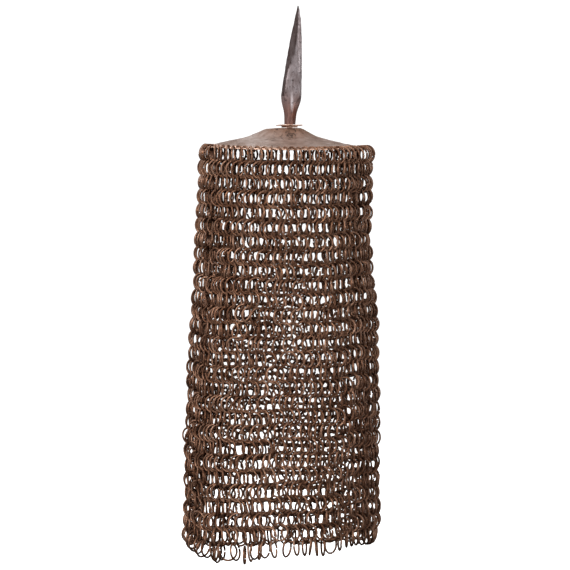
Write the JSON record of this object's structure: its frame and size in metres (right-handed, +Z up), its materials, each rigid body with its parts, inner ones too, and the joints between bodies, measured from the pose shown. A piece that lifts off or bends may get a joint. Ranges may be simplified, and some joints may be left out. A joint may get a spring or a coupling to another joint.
{
  "type": "chainmail coif",
  "caption": "Open tube of linked iron rings hung all round from the rim of a low conical crown plate that carries a lance-shaped spike.",
  "frame": {"origin": "on the flat peened end of the spike's tang, under the centre of the crown plate, where the coif bears on the top of the head", "axes": "+Z up along the hanging tube, towards the spike's tip; -Y is the front, +X is to the right in the picture"},
  "size_m": [0.1983, 0.2012, 0.5526],
  "materials": {
    "mail_iron": "old brown iron wire, rubbed lighter on the crowns of the rings",
    "plate_iron": "hand-beaten iron sheet, grey-brown with tan rust at the rim",
    "spike_iron": "forged iron, dark grey-purple patina with worn edges"
  },
  "bodies": {
    "root": {"crown_plate": "plate_iron", "collar": "plate_iron", "spike": "spike_iron", "rim_rings": "mail_iron", "mail_front": "mail_iron", "mail_back": "mail_iron", "hem_rings": "mail_iron"}
  },
  "joints": []
}
